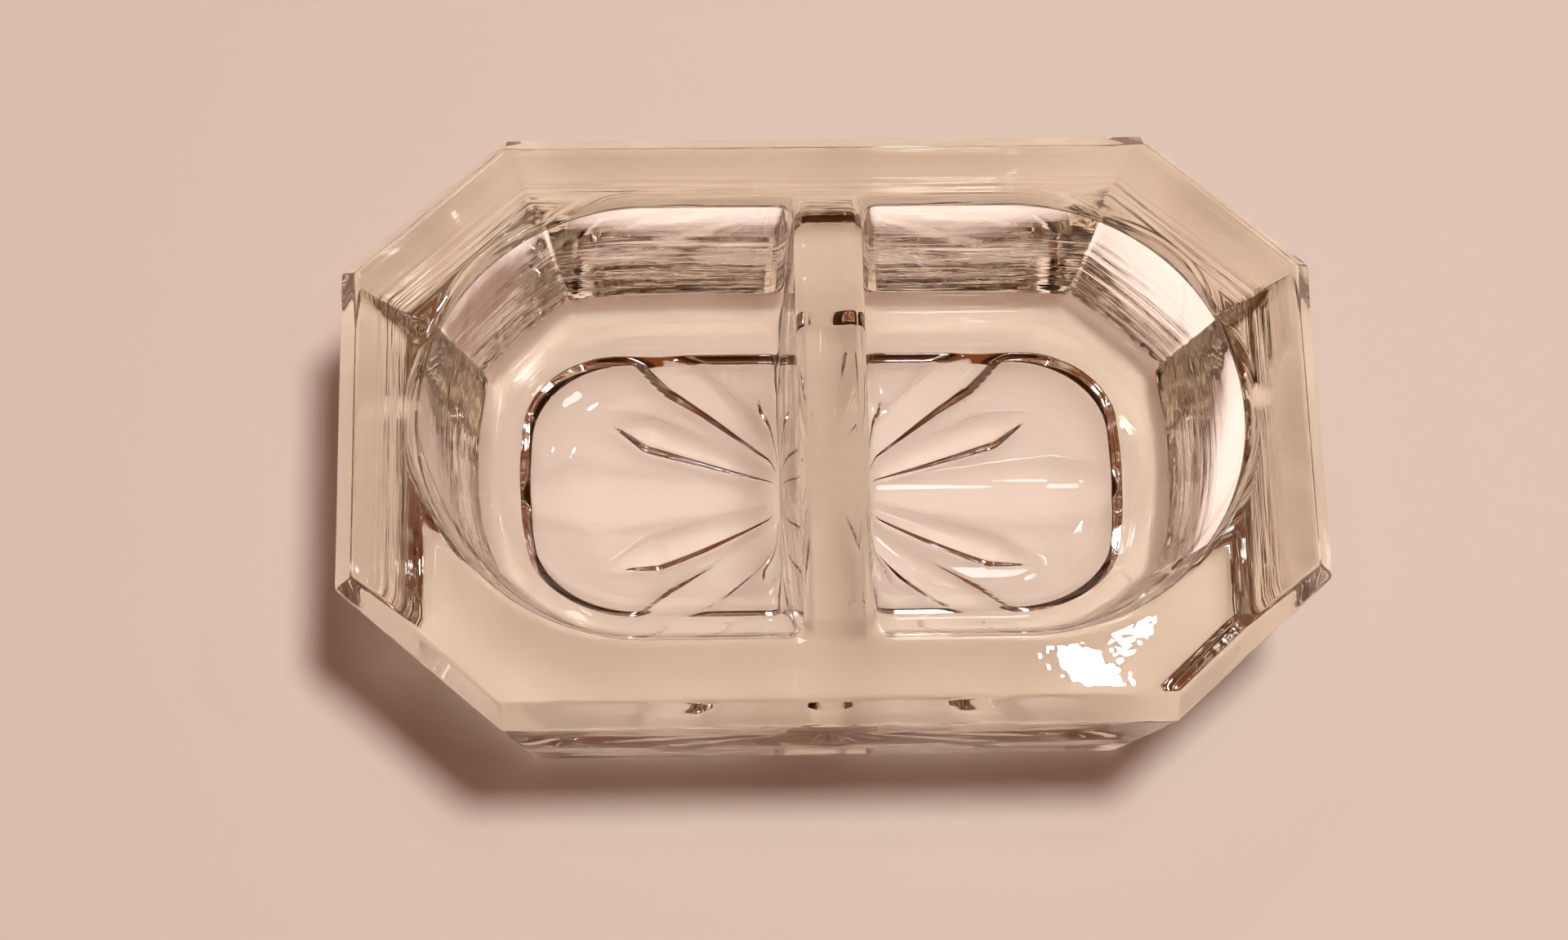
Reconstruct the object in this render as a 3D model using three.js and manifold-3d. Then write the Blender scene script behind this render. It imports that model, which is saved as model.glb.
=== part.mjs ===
import * as THREE from "three";
import { mergeVertices } from "three/addons/utils/BufferGeometryUtils.js";
import Module from "manifold-3d";

// A double open salt in clear pressed glass: one block with two wells and a divider between them.
// Millimetres. Z is up from the table, X runs along the length, and the origin is under the middle.

const wasm = await Module();
wasm.setup();

// Outside of the block, an octagon that is widest at the seam of the mould
const seamLength = 90.4;
const seamWidth = 57.1;
const seamCutLength = 15.1; // how far each corner is cut off along X
const seamCutWidth = 13.3; // and along Y
const height = 26.7;
const rimDrop = 2.5; // from the rim's flat down to the seam
const rimInsetEnd = 1.7; // how far the rim's flat lies inside the seam at the ends
const rimInsetSide = 2.05; // and at the long sides
const rimCutLength = 13.2;
const rimCutWidth = 12.0;
const baseLength = 77.4; // where the walls would meet the table but for the foot's rounding
const baseWidth = 51.6;
const baseCutLength = 11.1;
const baseCutWidth = 10.3;
const footRounding = 2.7;

// The oval that the two wells are let into: straight sides and round ends
const rimWidth = 4.95; // the rim's flat between the opening and the bevel
const wellDepth = 20.3;
const wellDraft = 12; // degrees that the walls lean out under the lip
const wellDraftLow = 28.5; // and where they meet the fillet
const wellFillet = 9.5; // wall to floor
const lipRounding = 0.8; // rim to wall

// The divider, flush with the rim
const dividerTop = 4.8; // flat on top, between its roundings
const dividerDraft = 3.2;
const dividerFillet = 1.1;
const cornerRounding = 1.3; // upright corners where the divider meets the walls

// The recess under the block, inside the ring that it stands on
const footRingEnd = 7.2;
const footRingSide = 9.1;
const recessDepth = 1.8;
const recessWallRun = 2.0; // the recess narrows by this towards its roof
const recessCornerLength = 10.4;
const recessCornerWidth = 8.4;

// The star in the recess: petals that stand down from its roof, mirrored across X and Y. Each has its
// direction in degrees from the length, its reach from the middle, its widest place with the half width
// there, the share of that width left halfway to the point, its height, and how full it is across: 2 is
// round, more is flatter on top with steeper sides.
const starHub = 3.2; // the petals start this far from the middle
const starHubWidth = 0.25; // half width of a petal where it starts
const starPetals = [
  { angle: 0, reach: 30.6, widest: 22.5, half: 3.3, nose: 0.84, tall: 0.75, full: 2 },
  { angle: 20.6, reach: 23.4, widest: 17.8, half: 1.95, nose: 0.5, tall: 1.15, full: 2.6 },
  { angle: 43.5, reach: 26, widest: 18.5, half: 2.7, nose: 0.75, tall: 1.45, full: 3 },
  { angle: 62, reach: 12.8, widest: 10, half: 1.3, nose: 0.6, tall: 0.85, full: 2.4 },
  { angle: 90, reach: 18, widest: 12, half: 2.8, nose: 0.75, tall: 1.35, full: 3 },
];

const arcSteps = 12; // facets to a quarter of a well's round end
const filletSteps = 7;
const cornerSteps = 4;
const footSteps = 5;
const radians = THREE.MathUtils.degToRad;

// A closed solid through rings that have the same number of points
function loft(rings) {
  const perRing = rings[0].length;
  const positions = rings.flat();
  const middle = (ring) =>
    ring.reduce((sum, p) => sum.map((c, i) => c + p[i] / perRing), [0, 0, 0]);
  positions.push(middle(rings[0]), middle(rings[rings.length - 1]));
  const firstMiddle = positions.length - 2;
  const lastMiddle = positions.length - 1;
  const lastRing = (rings.length - 1) * perRing;
  const index = [];
  for (let k = 0; k < perRing; k++) {
    const next = (k + 1) % perRing;
    for (let r = 0; r < rings.length - 1; r++) {
      const a = r * perRing + k;
      const b = r * perRing + next;
      index.push(a, b, b + perRing, a, b + perRing, a + perRing);
    }
    index.push(firstMiddle, next, k);
    index.push(lastMiddle, lastRing + k, lastRing + next);
  }
  return solidFrom(positions, index);
}

// The solid of a triangle mesh, with its faces turned outwards
function solidFrom(positions, index) {
  const geometry = new THREE.BufferGeometry();
  geometry.setAttribute("position", new THREE.Float32BufferAttribute(positions.flat(), 3));
  geometry.setIndex(index);
  const merged = mergeVertices(geometry, 1e-4);
  const mesh = (order) =>
    new wasm.Mesh({
      numProp: 3,
      vertProperties: new Float32Array(merged.attributes.position.array),
      triVerts: new Uint32Array(order),
    });
  const faces = Array.from(merged.index.array);
  const made = new wasm.Manifold(mesh(faces));
  return made.volume() > 0 ? made : new wasm.Manifold(mesh(faces.reverse()));
}

function octagon(length, width, cutLength, cutWidth, z) {
  const a = length / 2;
  const b = width / 2;
  const c = a - cutLength;
  const d = b - cutWidth;
  return [[c, -b], [a, -d], [a, d], [c, b], [-c, b], [-a, d], [-a, -d], [-c, -b]].map(([x, y]) => [x, y, z]);
}

function blockOutside() {
  const seamHeight = height - rimDrop;
  const wallRing = (z, inset) => {
    const between = (base, seam) => THREE.MathUtils.lerp(base, seam, z / seamHeight);
    const length = between(baseLength, seamLength) - 2 * inset;
    const width = between(baseWidth, seamWidth) - 2 * inset;
    const cutLength = between(baseCutLength, seamCutLength);
    const cutWidth = between(baseCutWidth, seamCutWidth);
    return octagon(length, width, cutLength, cutWidth, z);
  };
  const footRings = [];
  for (let i = 0; i <= footSteps; i++) {
    const turn = (Math.PI / 2) * (i / footSteps);
    footRings.push(wallRing(footRounding * (1 - Math.cos(turn)), footRounding * (1 - Math.sin(turn))));
  }
  return loft([
    ...footRings,
    wallRing(seamHeight, 0),
    octagon(seamLength - 2 * rimInsetEnd, seamWidth - 2 * rimInsetSide, rimCutLength, rimCutWidth, height),
  ]);
}

// How far a wall stands in from its edge at a depth: a rounded lip, a wall whose lean grows, and a fillet
function wallProfile(draft, draftLow, lip, wantedFillet) {
  const lean = radians(draft);
  const leanLow = radians(draftLow);
  const fillet = Math.min(wantedFillet, wellDepth - lip);
  const lipRun = lip * Math.cos(lean);
  const lipDepth = lip * (1 - Math.sin(lean));
  const centreDepth = wellDepth - fillet;
  const filletDepth = centreDepth + fillet * Math.sin(leanLow);
  const bend = (Math.tan(leanLow) - Math.tan(lean)) / (2 * (filletDepth - lipDepth));
  const slope = (depth) => lipRun + (depth - lipDepth) * Math.tan(lean) + (depth - lipDepth) ** 2 * bend;
  const centreRun = slope(filletDepth) + fillet * Math.cos(leanLow);
  const run = (depth) => {
    if (depth < lipDepth) return Math.sqrt(lip ** 2 - (lip - depth) ** 2);
    if (depth < filletDepth) return slope(depth);
    return centreRun - Math.sqrt(Math.max(fillet ** 2 - (depth - centreDepth) ** 2, 0));
  };
  const depths = [0, lip * 0.12];
  for (const t of [0, 0.25, 0.5, 0.75]) depths.push(THREE.MathUtils.lerp(lipDepth, filletDepth, t));
  for (let i = 0; i <= filletSteps; i++) {
    const turn = leanLow + ((Math.PI / 2 - leanLow) * i) / filletSteps;
    depths.push(centreDepth + fillet * Math.sin(turn));
  }
  return { run, depths };
}

const openingLength = seamLength - 2 * rimInsetEnd - 2 * rimWidth;
const openingWidth = seamWidth - 2 * rimInsetSide - 2 * rimWidth;
const wall = wallProfile(wellDraft, wellDraftLow, lipRounding, wellFillet);
const dividerSide = wallProfile(dividerDraft, dividerDraft, lipRounding, dividerFillet);

// One level of the well on the +X side: the divider's flat side, two upright corners and the round end
function wellOutline(depth, z) {
  const radius = openingWidth / 2 - wall.run(depth);
  const endCentre = (openingLength - openingWidth) / 2;
  const side = dividerTop / 2 + dividerSide.run(depth);
  const corner = Math.min(cornerRounding + wall.run(depth) * 0.08, radius * 0.9);
  const points = [];
  for (let i = 0; i <= 2 * arcSteps; i++) {
    const turn = radians(-90 + (90 * i) / arcSteps);
    points.push([endCentre + radius * Math.cos(turn), radius * Math.sin(turn), z]);
  }
  for (const [start, y] of [[90, radius - corner], [180, corner - radius]]) {
    for (let i = 0; i <= cornerSteps; i++) {
      const turn = radians(start + (90 * i) / cornerSteps);
      points.push([side + corner + corner * Math.cos(turn), y + corner * Math.sin(turn), z]);
    }
  }
  return points;
}

function wellVoid() {
  const depths = [...wall.depths, ...dividerSide.depths].sort((p, q) => p - q);
  const levels = depths.filter((d, i) => i === 0 || d - depths[i - 1] > 0.04);
  levels[levels.length - 1] = wellDepth;
  const above = wellOutline(0, height + 1);
  return loft([above, ...levels.map((depth) => wellOutline(depth, height - depth))]);
}

// The recess's outline at a height: straight sides with elliptical corners
function recessOutline(inset, z) {
  const a = baseLength / 2 - footRingEnd - inset;
  const b = baseWidth / 2 - footRingSide - inset;
  const points = [];
  for (const [start, sx, sy] of [[0, 1, 1], [90, -1, 1], [180, -1, -1], [270, 1, -1]]) {
    for (let i = 0; i <= 2 * cornerSteps; i++) {
      const turn = radians(start + (45 * i) / cornerSteps);
      const x = sx * (a - recessCornerLength) + recessCornerLength * Math.cos(turn);
      const y = sy * (b - recessCornerWidth) + recessCornerWidth * Math.sin(turn);
      points.push([x, y, z]);
    }
  }
  return points;
}

function recessVoid() {
  return loft([recessOutline(0, -1), recessOutline(0, 0), recessOutline(recessWallRun, recessDepth)]);
}

// One petal: it widens to its shoulder and runs out to a point, as a loft across its length
function petalSolid({ angle, reach, widest, half, nose, tall, full }) {
  const root = 0.4; // how far its shape goes on above the recess's roof
  const stations = [0, 0.12, 0.3, 0.55, 0.8, 1].map((t) => {
    const w = starHubWidth + (half - starHubWidth) * t ** 0.65;
    return [starHub + (widest - starHub) * t, w, tall * (w / half) ** 1.6];
  });
  stations.push([(widest + reach) / 2, half * nose, tall * nose], [reach, half * 0.04, tall * 0.04]);
  const shares = [-1, -0.95, -0.8, -0.5, 0, 0.5, 0.8, 0.95, 1];
  const turn = radians(angle);
  return loft(
    stations.map(([along, w, down]) => {
      const section = shares.map((u) => [w * u, -down * (1 - Math.abs(u) ** full) ** 0.6]);
      return [[-w, root], ...section, [w, root]].map(([across, up]) => [
        along * Math.cos(turn) - across * Math.sin(turn),
        along * Math.sin(turn) + across * Math.cos(turn),
        recessDepth + up,
      ]);
    }),
  );
}

function starSolid() {
  const petals = [];
  for (const petal of starPetals) {
    const turns = [petal.angle, 180 - petal.angle, 180 + petal.angle, 360 - petal.angle];
    for (const angle of new Set(turns.map((a) => a % 360))) petals.push(petalSolid({ ...petal, angle }));
  }
  return petals.reduce((sum, petal) => sum.add(petal));
}

const well = wellVoid();
const dish = blockOutside()
  .subtract(well)
  .subtract(well.mirror([1, 0, 0]))
  .subtract(recessVoid().subtract(starSolid()));

const surface = dish.getMesh();
const geometry = new THREE.BufferGeometry();
geometry.setAttribute("position", new THREE.BufferAttribute(new Float32Array(surface.vertProperties), 3));
geometry.setIndex(new THREE.BufferAttribute(new Uint32Array(surface.triVerts), 1));
geometry.computeVertexNormals();

const glass = new THREE.MeshStandardMaterial({
  color: 0xefe3d0,
  roughness: 0.04,
  metalness: 0,
  transparent: true,
  opacity: 0.35,
  flatShading: true,
});

const glassDish = new THREE.Mesh(geometry, glass);
glassDish.name = "glass_dish";

const salt = new THREE.Group();
salt.add(glassDish);

export default salt;
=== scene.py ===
import math

import bpy
import numpy as np
from mathutils import Euler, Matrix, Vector, noise


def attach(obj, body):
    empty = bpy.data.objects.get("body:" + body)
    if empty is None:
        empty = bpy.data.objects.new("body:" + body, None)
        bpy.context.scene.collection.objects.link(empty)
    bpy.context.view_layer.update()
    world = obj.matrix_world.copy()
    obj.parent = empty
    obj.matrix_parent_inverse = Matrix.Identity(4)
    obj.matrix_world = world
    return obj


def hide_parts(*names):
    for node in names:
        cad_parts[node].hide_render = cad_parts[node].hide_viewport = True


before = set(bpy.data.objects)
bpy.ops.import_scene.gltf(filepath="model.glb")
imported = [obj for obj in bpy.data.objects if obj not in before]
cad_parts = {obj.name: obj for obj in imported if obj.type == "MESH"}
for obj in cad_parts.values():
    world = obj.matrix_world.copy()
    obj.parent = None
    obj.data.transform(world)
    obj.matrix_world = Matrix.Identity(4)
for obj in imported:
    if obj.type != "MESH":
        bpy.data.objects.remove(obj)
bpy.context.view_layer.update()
scene = bpy.context.scene
mm = 0.001


def hexColour(code):  # sRGB hex to linear, with alpha 1
    parts = [int(code[i:i + 2], 16) / 255 for i in (1, 3, 5)]
    return [c / 12.92 if c <= 0.04045 else ((c + 0.055) / 1.055) ** 2.4 for c in parts] + [1.0]


def addNode(tree, kind, links=None, **settings):  # links: socket -> (node, output)
    node = tree.nodes.new(kind)
    for name, value in settings.items():  # a property of the node, or else one of its sockets
        if hasattr(node, name):
            setattr(node, name, value)
        else:
            node.inputs[name.replace("_", " ")].default_value = value
    for socket, (source, output) in (links or {}).items():
        tree.links.new(source.outputs[output], node.inputs[socket])
    return node


# Camera

print("camera")
camera = {
    "place": (-16.147, -94.03, 297.76),  # mm
    "turn": (0.31718, -0.03469, -0.02364),  # radians
    "focalPixels": 3862.2,  # for an image 1920 wide
    "imageWidth": 1920,
}
cameraData = bpy.data.cameras.new("photoCamera")
cameraData.sensor_width = 36
cameraData.lens = camera["focalPixels"] / camera["imageWidth"] * 36
cameraData.clip_start = 0.01
cameraObject = bpy.data.objects.new("photoCamera", cameraData)
cameraObject.location = Vector(camera["place"]) * mm
cameraObject.rotation_euler = Euler(camera["turn"], "XYZ")
scene.collection.objects.link(cameraObject)
scene.camera = cameraObject


# The glass, lofted as one closed skin: recess, foot ring, outer walls, rim, wells and divider

print("glass skin")
dish = {  # mm, the same sizes as the solid
    "seamLength": 90.4, "seamWidth": 57.1, "seamCut": (15.1, 13.3),
    "height": 26.7, "rimDrop": 2.5, "rimInset": (1.7, 2.05), "rimCut": (13.2, 12.0),
    "baseLength": 77.4, "baseWidth": 51.6, "baseCut": (11.1, 10.3), "footRounding": 2.7,
    "seamRounding": 0.35, "rimRounding": 0.5, "rimWidth": 4.95,
    "uprightRounding": (0.5, 0.3),  # of the upright edges, at the foot and at the seam
    "wellDepth": 20.3, "wellDraft": (12, 28.5), "wellFillet": 9.5, "lipRounding": 0.8,
    "dividerTop": 4.8, "dividerDraft": (3.2, 3.2), "dividerFillet": 1.1,
    "cornerRounding": 1.3, "cornerGrowth": 0.08,  # of a well at the divider, and how it grows downward
    "footRingEnd": 7.2, "footRingSide": 9.1,
    "recessDepth": 1.8, "recessWallRun": 2.0, "recessCorner": (10.4, 8.4), "recessRounding": 0.3,
    "starHub": 3.2, "starHubWidth": 0.25,
    "petalSwell": 0.65, "petalRise": 1.6, "petalFlank": (0.5, 0.72),  # exponents of a petal's form
    "rippleDepth": 0.06, "ripplePitch": 1.7, "rippleLength": 8,  # chill waves round the outer walls
    "waveHeights": (9.0, 14.0, 18.5, 21.5), "waveShares": (1.0, 0.05, 0.05, 0.7),  # from foot to seam
    "waveEnds": (1.2, 0.3),  # where they end, above the foot and under the seam
    "rimWave": 0.014, "rimWaveLength": 8,  # slack of the fire-polished rim
    "longestBend": 0.45,  # the largest share of a stretch that a rounding may take
    "innerRoof": (0.955, 0.94, 1), "roofRings": 74,  # the recess's roof inside its edge
}
# petals: direction in degrees, reach, widest place, half width there,
# share of it halfway to the point, height, fullness
petals = [
    (0, 30.6, 22.5, 3.3, 0.84, 0.75, 2.0),
    (20.6, 23.4, 17.8, 1.95, 0.5, 1.15, 2.6),
    (43.5, 26, 18.5, 2.7, 0.75, 1.45, 3.0),
    (62, 12.8, 10, 1.3, 0.6, 0.85, 2.4),
    (90, 18, 12, 2.8, 0.75, 1.35, 3.0),
]
sidePoints, turnPoints, cutPoints, frontPoints, gapPoints = 14, 4, 20, 28, 6  # of a quarter ring
roundPoints = sidePoints + 2 * turnPoints + cutPoints  # of a quarter turn of the opening
cornerPoints, dividerPoints = 6, 20  # of a well, at the divider


def wallProfile(drafts, lip, fillet):  # how far a wall stands in at a depth, and the depths worth a ring
    depth = dish["wellDepth"]
    high, low = (math.radians(a) for a in drafts)  # the lean grows from the lip to the fillet
    lipRun, lipDepth = lip * math.cos(high), lip * (1 - math.sin(high))
    centreDepth = depth - fillet
    filletDepth = centreDepth + fillet * math.sin(low)
    bend = (math.tan(low) - math.tan(high)) / 2 / (filletDepth - lipDepth)

    def slope(d):
        return lipRun + (d - lipDepth) * math.tan(high) + (d - lipDepth) ** 2 * bend

    centreRun = slope(filletDepth) + fillet * math.cos(low)

    crease = 2 * lipRun / lipDepth - math.tan(high)  # the lip starts at an edge, where plunger and ring met

    def run(d):
        if d < lipDepth:
            return crease * d + (math.tan(high) - crease) / 2 / lipDepth * d ** 2
        if d < filletDepth:
            return slope(d)
        return centreRun - math.sqrt(max(fillet ** 2 - (d - centreDepth) ** 2, 0))

    steps = max(6, round(fillet * 2.6))
    lipAngles = range(0, round(90 - drafts[0]), 12)
    depths = [lip * (1 - math.cos(math.radians(a))) for a in lipAngles] + [lipDepth]
    depths += list(np.linspace(lipDepth, filletDepth, 14))
    filletAngles = [low + (math.pi / 2 - low) * i / steps for i in range(steps + 1)]
    depths += [centreDepth + fillet * math.sin(a) for a in filletAngles]
    return run, depths


openHalfLength = dish["seamLength"] / 2 - dish["rimInset"][0] - dish["rimWidth"]
openHalfWidth = dish["seamWidth"] / 2 - dish["rimInset"][1] - dish["rimWidth"]
endCentre = openHalfLength - openHalfWidth
wallRun, wallDepths = wallProfile(dish["wellDraft"], dish["lipRounding"], dish["wellFillet"])
dividerRun, dividerDepths = wallProfile(dish["dividerDraft"], dish["lipRounding"], dish["dividerFillet"])


def starHeight(x, y):  # how far the star's petals stand down from the recess's roof
    x, y = np.abs(x), np.abs(y)
    flank, bulge = dish["petalFlank"]
    high = np.zeros_like(x)
    for angle, reach, widest, half, nose, tall, full in petals:
        turn = math.radians(angle)
        along = x * math.cos(turn) + y * math.sin(turn)
        across = -x * math.sin(turn) + y * math.cos(turn)
        grow = np.clip((along - dish["starHub"]) / (widest - dish["starHub"]), 0, 1)
        taper = np.clip((reach - along) / (reach - widest), 0, 1)
        width = dish["starHubWidth"] + (half - dish["starHubWidth"]) * grow ** dish["petalSwell"]
        width = np.where(along > widest, half * taper ** (math.log(nose) / math.log(0.5)), width)
        width = np.where(along > dish["starHub"], width, 0.01)
        side = np.clip(np.abs(across) / np.maximum(width, 0.01), 0, 1)
        rise = np.clip(width / half, 0, 1) ** np.where(along > widest, 1, dish["petalRise"])
        high = np.maximum(high, tall * rise * (1 - side ** (full - flank)) ** bulge)
    return high


def mirrored(quarter):  # a ring from its first quarter, which runs from the X axis to the Y axis
    q = np.array(quarter)
    left = q[-2::-1] * (-1, 1)
    top = np.concatenate([q, left])
    return np.concatenate([top, top[-2:0:-1] * (1, -1)])


def spread(start, end, count, skipFirst=True):
    t = np.linspace(0, 1, count + 1)[1 if skipFirst else 0:, None]
    return np.array(start) * (1 - t) + np.array(end) * t


def arc(centre, radii, start, end, count):
    a = np.radians(np.linspace(start, end, count + 1))[1:]
    return np.array(centre) + np.column_stack([radii[0] * np.cos(a), radii[1] * np.sin(a)])


# the share of the long side that the divider spans
gapShare = (dish["dividerTop"] / 2 + dish["cornerRounding"]) / endCentre


def longSide(x, y):  # the last stretch of a quarter, from a corner to the middle
    turn = (x * gapShare, y)
    return np.concatenate([spread((x, y), turn, frontPoints), spread(turn, (0, y), gapPoints)])


def atHeight(ring, z):
    return np.column_stack([ring, np.full(len(ring), z)])


def octagonRing(a, b, cut, z, r):  # half length and width, cut of the corners, height, rounding
    c, d = a - cut[0], b - cut[1]
    slant = np.array([c - a, b - d])
    slant = slant / np.linalg.norm(slant)
    low, high = np.array([a, d]), np.array([c, b])

    def corner(before, at, after):
        t = np.linspace(0, 1, turnPoints + 1)[1:, None]
        return before * (1 - t) ** 2 + at * 2 * t * (1 - t) + after * t ** 2

    quarter = np.concatenate([
        spread((a, 0), low - (0, r), sidePoints, False),
        corner(low - (0, r), low, low + slant * r),
        spread(low + slant * r, high - slant * r, cutPoints),
        corner(high - slant * r, high, high - (r, 0)),
        longSide(c - r, b),
    ])
    return atHeight(mirrored(quarter), z)


def recessRing(inset, z):
    a = dish["baseLength"] / 2 - dish["footRingEnd"] - inset
    b = dish["baseWidth"] / 2 - dish["footRingSide"] - inset
    p, q = dish["recessCorner"]
    quarter = np.concatenate([
        spread((a, 0), (a, b - q), sidePoints, False),
        arc((a - p, b - q), (p, q), 0, 90, 2 * turnPoints + cutPoints),
        longSide(a - p, b),
    ])
    return atHeight(mirrored(quarter), z)


def openingRing():
    quarter = np.concatenate([
        [(openHalfLength, 0)],
        arc((endCentre, 0), (openHalfWidth, openHalfWidth), 0, 90, roundPoints),
        longSide(endCentre, openHalfWidth),
    ])
    return atHeight(mirrored(quarter), dish["height"])


def bendReach(stretch, rounding):  # the share of a stretch that the bend at its end takes
    return np.minimum(rounding / np.linalg.norm(stretch, axis=1)[:, None], dish["longestBend"])


def roundedPath(controls, roundings, counts):  # rings along stretches with rounded bends between
    rings = []
    for i, (start, end) in enumerate(zip(controls[:-1], controls[1:])):
        first = start + (end - start) * bendReach(end - start, roundings[i])
        last = end + (start - end) * bendReach(end - start, roundings[i + 1])
        rings += [first * (1 - t) + last * t for t in np.linspace(0, 1, counts[i] + 1)]
        if i + 2 < len(controls):
            after = controls[i + 2] - end
            begin = end + after * bendReach(after, roundings[i + 1])
            for t in (0.2, 0.4, 0.6, 0.8):
                rings.append(last * (1 - t) ** 2 + end * 2 * t * (1 - t) + begin * t ** 2)
    return rings


def chill(z):  # how strongly the chill waves show at a height of the outer wall
    low, high = dish["waveEnds"][0], dish["height"] - dish["rimDrop"] - dish["waveEnds"][1]
    fade = min(1, max(0, (z - low) / 2)) * min(1, max(0, high - z))
    return fade * np.interp(z, dish["waveHeights"], dish["waveShares"])


def ripple(ring):  # chill waves: long along the wall, short up and down it
    middle = ring.mean(0)
    tangent = np.roll(ring, -1, 0) - np.roll(ring, 1, 0)
    outward = np.column_stack([tangent[:, 1], -tangent[:, 0], np.zeros(len(ring))])
    outward /= np.linalg.norm(outward, axis=1)[:, None]
    moved = ring.copy()
    for k, point in enumerate(ring):
        fade = chill(point[2])
        if fade <= 0:
            continue
        along = (point[:2] - (middle[0], 0)) / dish["rippleLength"]
        p = Vector((along[0], along[1], point[2] / dish["ripplePitch"]))
        wave = noise.noise(p) + 0.5 * noise.noise(p * 2.1 + Vector((7, 3, 1)))
        moved[k] -= outward[k] * dish["rippleDepth"] * fade * (0.9 + wave)
    return moved


def rimSag(point):  # how far the fire-polished rim lies under its plane
    near = 1 - (dish["height"] - point[2]) / dish["lipRounding"]
    if near <= 0:
        return 0.0
    p = Vector((point[0], point[1], 4.2 * dish["rimWaveLength"])) / dish["rimWaveLength"]
    return near * dish["rimWave"] * max(0, 0.6 + noise.noise(p) + 0.3 * noise.noise(p * 2.3))


def wellRing(depth):  # on the +X side, from the divider's front corner round the end and back
    r = openHalfWidth - wallRun(depth)
    side = dish["dividerTop"] / 2 + dividerRun(depth)
    corner = min(dish["cornerRounding"] + wallRun(depth) * dish["cornerGrowth"], r * 0.9)
    points = np.concatenate([
        spread((side + corner, -r), (endCentre, -r), frontPoints, False),
        arc((endCentre, 0), (r, r), -90, 0, roundPoints),
        arc((endCentre, 0), (r, r), 0, 90, roundPoints),
        spread((endCentre, r), (side + corner, r), frontPoints),
        arc((side + corner, r - corner), (corner, corner), 90, 180, cornerPoints),
        spread((side, r - corner), (side, corner - r), dividerPoints),
        arc((side + corner, corner - r), (corner, corner), 180, 270, cornerPoints)[:-1],
    ])
    return atHeight(points, dish["height"] - depth)


points, faces = [], []
known = {}


def place(ring):  # point numbers of a ring; points that coincide are shared
    numbers = []
    for p in ring:
        p = (p[0], p[1], p[2] - rimSag(p))
        key = (round(float(p[0]), 4), round(float(p[1]), 4), round(float(p[2]), 4))
        if key not in known:
            known[key] = len(points)
            points.append(tuple(float(c) for c in p))
        numbers.append(known[key])
    return numbers


def strip(low, high, closed=True):  # quads between two rows of point numbers
    n = len(low)
    for k in range(n if closed else n - 1):
        m = (k + 1) % n
        face = []
        for number in (low[k], low[m], high[m], high[k]):
            if number not in face:
                face.append(number)
        if len(face) > 2:
            faces.append(face)


height, roof = dish["height"], dish["recessDepth"]
baseHalf = dish["baseLength"] / 2, dish["baseWidth"] / 2
seamHalf = dish["seamLength"] / 2, dish["seamWidth"] / 2
rimHalf = seamHalf[0] - dish["rimInset"][0], seamHalf[1] - dish["rimInset"][1]
roofEdge = recessRing(dish["recessWallRun"], roof)
roofInner = roofEdge * dish["innerRoof"]
for ring in (roofEdge, roofInner):
    ring[:, 2] = roof - starHeight(ring[:, 0], ring[:, 1])
controls = [
    roofInner, roofEdge, recessRing(0, 0),
    octagonRing(*baseHalf, dish["baseCut"], 0, dish["uprightRounding"][0]),
    octagonRing(*seamHalf, dish["seamCut"], height - dish["rimDrop"], dish["uprightRounding"][1]),
    octagonRing(*rimHalf, dish["rimCut"], height, dish["uprightRounding"][1]),
    openingRing(),
]
roundings = [0, dish["recessRounding"], dish["recessRounding"],
             dish["footRounding"], dish["seamRounding"], dish["rimRounding"], 0]
ringCounts = [2, 3, 6, 64, 5, 9]  # along each stretch between two controls
numbered = []
marks = {}  # point number: how strongly fine chill marks show there
for ring in roundedPath(controls, roundings, ringCounts):
    numbered.append(place(ripple(ring)))
    for number, point in zip(numbered[-1], ring):
        if point[2] > roof:
            marks[number] = chill(point[2])
for low, high in zip(numbered[:-1], numbered[1:]):
    strip(low, high)

below = numbered[0]  # the recess's roof, ring by ring to the middle
for t in np.linspace(1, 0.02, dish["roofRings"])[1:]:
    ring = roofInner * (t, t, 1)
    ring[:, 2] = roof - starHeight(ring[:, 0], ring[:, 1])
    inner = place(ring)
    strip(inner, below)
    below = inner
faces.append(below[::-1])

levels = sorted(set(round(d, 3) for d in wallDepths + dividerDepths))
levels = [d for i, d in enumerate(levels) if i == 0 or d - levels[i - 1] > 0.02]
levels[-1] = dish["wellDepth"]
wells = {}
for sign in (1, -1):
    above = None
    for depth in levels:
        ring = wellRing(depth) * (sign, 1, 1)
        here = place(ring)
        if above is None:
            wells[sign] = ring
        elif sign > 0:
            strip(above, here)
        else:
            strip(here, above)
        above = here
    middle = ring.mean(0)
    for t in (0.8, 0.5, 0.2):
        here = place(middle + (ring - middle) * t)
        strip(above, here) if sign > 0 else strip(here, above)
        above = here
    faces.append(above if sign > 0 else above[::-1])

# the divider's side at the rim, from back to front
edge = np.concatenate([wells[1][-(2 * cornerPoints + dividerPoints):], wells[1][:1]])
rows = [place(edge * (1 - j / gapPoints, 1, 1)) for j in range(2 * gapPoints + 1)]
for low, high in zip(rows[:-1], rows[1:]):
    strip(high, low, closed=False)

glassMesh = bpy.data.meshes.new("pressedGlassDish")
glassMesh.from_pydata([Vector(p) * mm for p in points], [], faces)
glassMesh.validate()
chillMarks = glassMesh.attributes.new("chillMarks", "FLOAT", "POINT")
chillMarks.data.foreach_set("value", [float(marks.get(i, 0)) for i in range(len(points))])
glassMesh.shade_smooth()
glassDish = bpy.data.objects.new("pressedGlassDish", glassMesh)
scene.collection.objects.link(glassDish)
print(f"glass skin: {len(points)} points, {len(faces)} faces")


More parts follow.
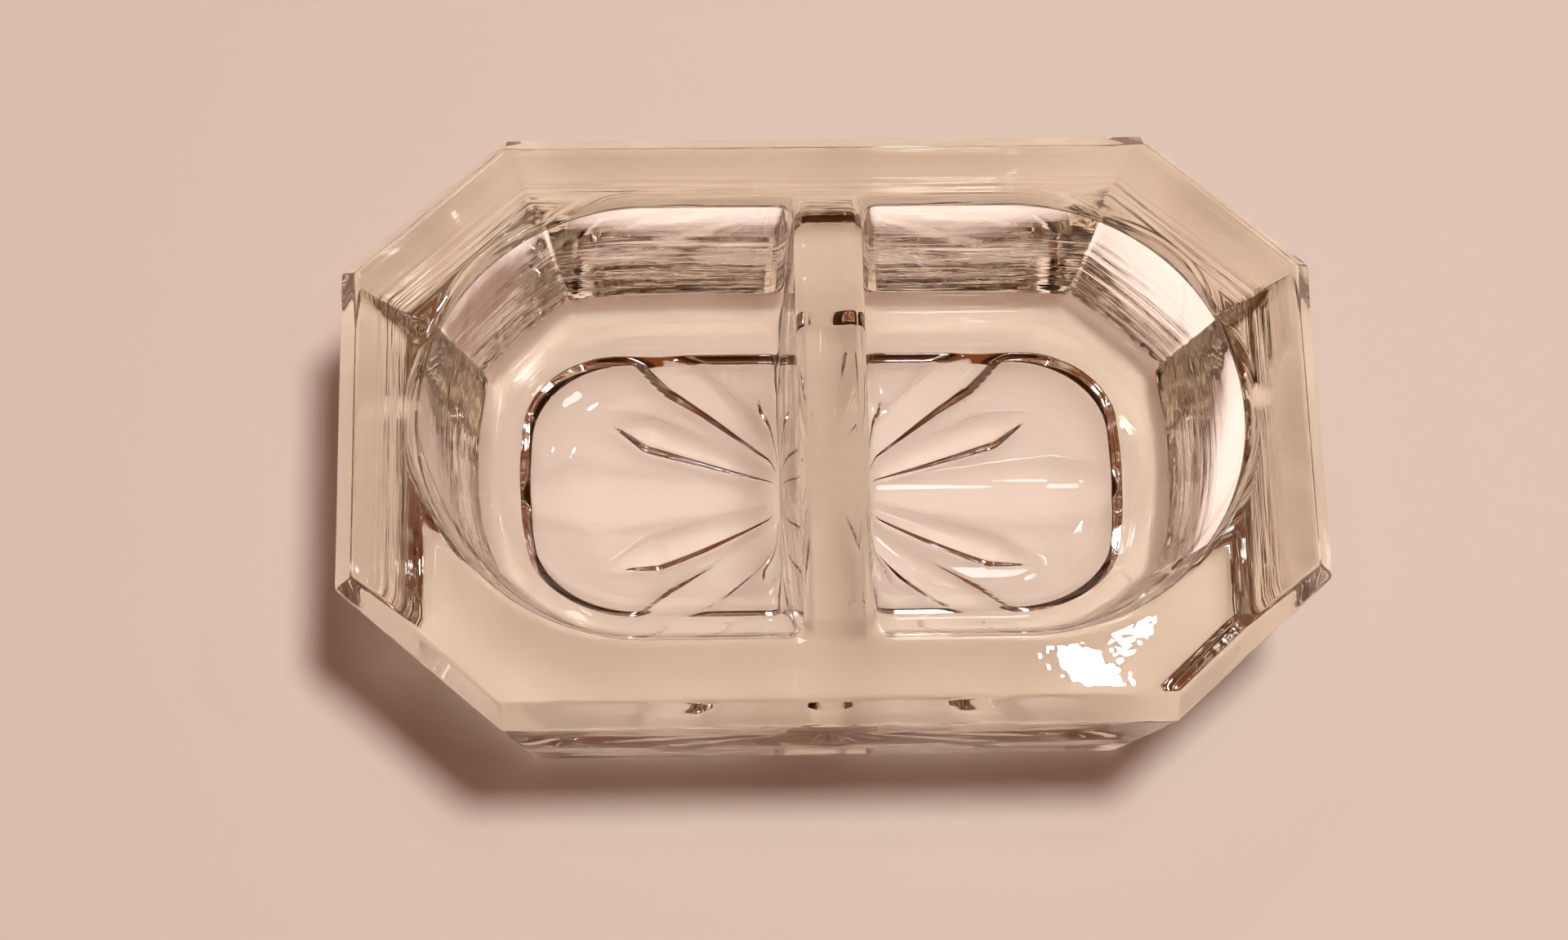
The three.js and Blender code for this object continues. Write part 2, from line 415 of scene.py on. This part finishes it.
# Pressed soda-lime glass, fire polished: bright edges, wavy walls, a straw tint that grows with depth

print("glass material")
glass = {
    "tint": "#fffdf8", "depthTint": "#ccbc98", "depthTintStrength": 16.0,
    "ior": 1.52, "roughness": 0.0,
    "polishScale": 520.0, "polishDepth": 0.000006,  # slack of the polished surface: waves per metre, metres
    "markScale": (50, 50, 1000), "markDepth": 0.00012,  # chill marks along and up the walls, likewise
}
glassMaterial = bpy.data.materials.new("sodaLimeGlassPressed")
glassMaterial.use_nodes = True
tree = glassMaterial.node_tree
tree.nodes.clear()
output = addNode(tree, "ShaderNodeOutputMaterial")
where = addNode(tree, "ShaderNodeTexCoord")
slack = addNode(tree, "ShaderNodeTexNoise", {"Vector": (where, "Object")},
                Scale=glass["polishScale"], Detail=2.0)
polish = addNode(tree, "ShaderNodeBump", {"Height": (slack, "Fac")}, Distance=glass["polishDepth"])
stretch = addNode(tree, "ShaderNodeMapping", {"Vector": (where, "Object")}, Scale=glass["markScale"])
fine = addNode(tree, "ShaderNodeTexNoise", {"Vector": (stretch, "Vector")}, Scale=1.0, Detail=3.0)
marked = addNode(tree, "ShaderNodeAttribute", attribute_name="chillMarks")
wrinkled = addNode(tree, "ShaderNodeBump", {
    "Height": (fine, "Fac"), "Strength": (marked, "Fac"), "Normal": (polish, "Normal"),
}, Distance=glass["markDepth"])
surface = addNode(tree, "ShaderNodeBsdfPrincipled", {"Normal": (wrinkled, "Normal")},
                  Base_Color=hexColour(glass["tint"]), Roughness=glass["roughness"],
                  IOR=glass["ior"], Transmission_Weight=1.0)
depth = addNode(tree, "ShaderNodeVolumeAbsorption",
                Color=hexColour(glass["depthTint"]), Density=glass["depthTintStrength"])
tree.links.new(surface.outputs["BSDF"], output.inputs["Surface"])
tree.links.new(depth.outputs["Volume"], output.inputs["Volume"])
glassMesh.materials.append(glassMaterial)
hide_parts("glass_dish")
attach(glassDish, "root")


# Floor and light

print("floor and light")
studio = {
    "floor": "#dcc5ad", "floorSize": 3.0, "floorRoughness": 0.95, "floorSheen": 0.1,
    "keyPlace": (0.12, 0.025, 0.79), "keySize": 0.14, "keyLevel": 1.0, "keyColour": "#e4ecfa",
    "sky": "#ff8c50", "skyHeight": 0.78, "horizon": "#4e260e", "horizonHeight": 0.55,
    "skyLevel": 0.30, "skyInGlass": 0.24,
    # painted light: the floor as rays see it that have passed through glass, painted brighter and glowing,
    # standing in for the light the glass bends down onto the floor
    "paintedLightUnderGlass": "#ffead9", "paintedGainUnderGlass": 1.5, "paintedGlowUnderGlass": 0.10,
}
floorMesh = bpy.data.meshes.new("floor")
half = studio["floorSize"] / 2
floorCorners = [(-half, -half, 0), (half, -half, 0), (half, half, 0), (-half, half, 0)]
floorMesh.from_pydata(floorCorners, [], [(0, 1, 2, 3)])
floor = bpy.data.objects.new("floor", floorMesh)
floor.location.z = -0.0001  # just clear of the foot
scene.collection.objects.link(floor)
floorMaterial = bpy.data.materials.new("mattePaperFloor")
floorMaterial.use_nodes = True
tree = floorMaterial.node_tree
tree.nodes.clear()
rays = addNode(tree, "ShaderNodeLightPath")
# painted light: rays that have passed through the glass see the floor brighter than its own colour, as a
# stand-in for the light the glass bends onto it
paintedLightColour = [c * studio["paintedGainUnderGlass"] for c in hexColour(studio["paintedLightUnderGlass"])]
shade = addNode(tree, "ShaderNodeMixRGB", {"Fac": (rays, "Is Transmission Ray")},
                Color1=hexColour(studio["floor"]), Color2=paintedLightColour)
paper = addNode(tree, "ShaderNodeBsdfPrincipled", {"Base Color": (shade, "Color")},
                Roughness=studio["floorRoughness"], Specular_IOR_Level=studio["floorSheen"])
# painted glow: for rays through the glass the floor also glows a little, though it is no lamp
glow = addNode(tree, "ShaderNodeEmission", Color=hexColour(studio["floor"]), Strength=1.0)
share = addNode(tree, "ShaderNodeMath", operation="MULTIPLY")
share.inputs[1].default_value = studio["paintedGlowUnderGlass"]
tree.links.new(rays.outputs["Is Transmission Ray"], share.inputs[0])
seen = addNode(tree, "ShaderNodeMixShader", {"Fac": (share, "Value")})
tree.links.new(paper.outputs["BSDF"], seen.inputs[1])
tree.links.new(glow.outputs["Emission"], seen.inputs[2])
addNode(tree, "ShaderNodeOutputMaterial", {"Surface": (seen, "Shader")})
floorMesh.materials.append(floorMaterial)


glints = {  # small lamps that the glass mirrors: spot, size across and along, level
    "rimGlint": ((0.143, 0.195, 0.877), 0.040, 0.016, 0.034),
    "sideGlint": ((0.160, 0.209, 0.877), 0.006, 0.011, 0.004),
    "wellGlint": ((0.223, -0.11, 0.80), 0.06, 0.05, 0.03),
    "leftGlint": ((-0.198, 0.499, 0.80), 0.06, 0.06, 0.02),
    "endGlint": ((0.45, 0.10, 0.79), 0.03, 0.03, 0.015),
}


# level: how brightly the lamp alone lights the floor at the middle
# shows: whether the glass mirrors it
def softLamp(name, spot, size, length, level, shows=True):
    data = bpy.data.lights.new(name, "AREA")
    data.shape = "ELLIPSE"
    data.size, data.size_y = size, length
    away = Vector(spot)
    data.energy = level * math.pi ** 2 * away.length ** 3 / away.z
    data.color = hexColour(studio["keyColour"])[:3]
    lamp = bpy.data.objects.new(name, data)
    lamp.location = spot
    lamp.rotation_euler = away.to_track_quat("Z", "Y").to_euler()
    lamp.visible_glossy = shows
    scene.collection.objects.link(lamp)


keySize = studio["keySize"]
softLamp("keyLamp", studio["keyPlace"], keySize, keySize, studio["keyLevel"], shows=False)
for name, (spot, size, length, level) in glints.items():
    softLamp(name, spot, size, length, level)

world = bpy.data.worlds.new("studioWorld")
scene.world = world
world.use_nodes = True
tree = world.node_tree
tree.nodes.clear()
coordinates = addNode(tree, "ShaderNodeTexCoord")
upward = addNode(tree, "ShaderNodeSeparateXYZ", {"Vector": (coordinates, "Generated")})
ramp = addNode(tree, "ShaderNodeValToRGB", {"Fac": (upward, "Z")})
for stop, name in zip(ramp.color_ramp.elements, ("horizon", "sky")):
    stop.color = hexColour(studio[name])
    stop.position = studio[name + "Height"]
rays = addNode(tree, "ShaderNodeLightPath")
strength = addNode(tree, "ShaderNodeMapRange", {"Value": (rays, "Is Transmission Ray")},
                   To_Min=studio["skyLevel"], To_Max=studio["skyInGlass"])
sky = addNode(tree, "ShaderNodeBackground", {"Color": (ramp, "Color"), "Strength": (strength, "Result")})
addNode(tree, "ShaderNodeOutputWorld", {"Surface": (sky, "Background")})

scene.view_settings.view_transform = "Standard"
scene.cycles.max_bounces = 24  # light is turned back many times inside thick glass
scene.cycles.glossy_bounces = 20
scene.cycles.transmission_bounces = 20
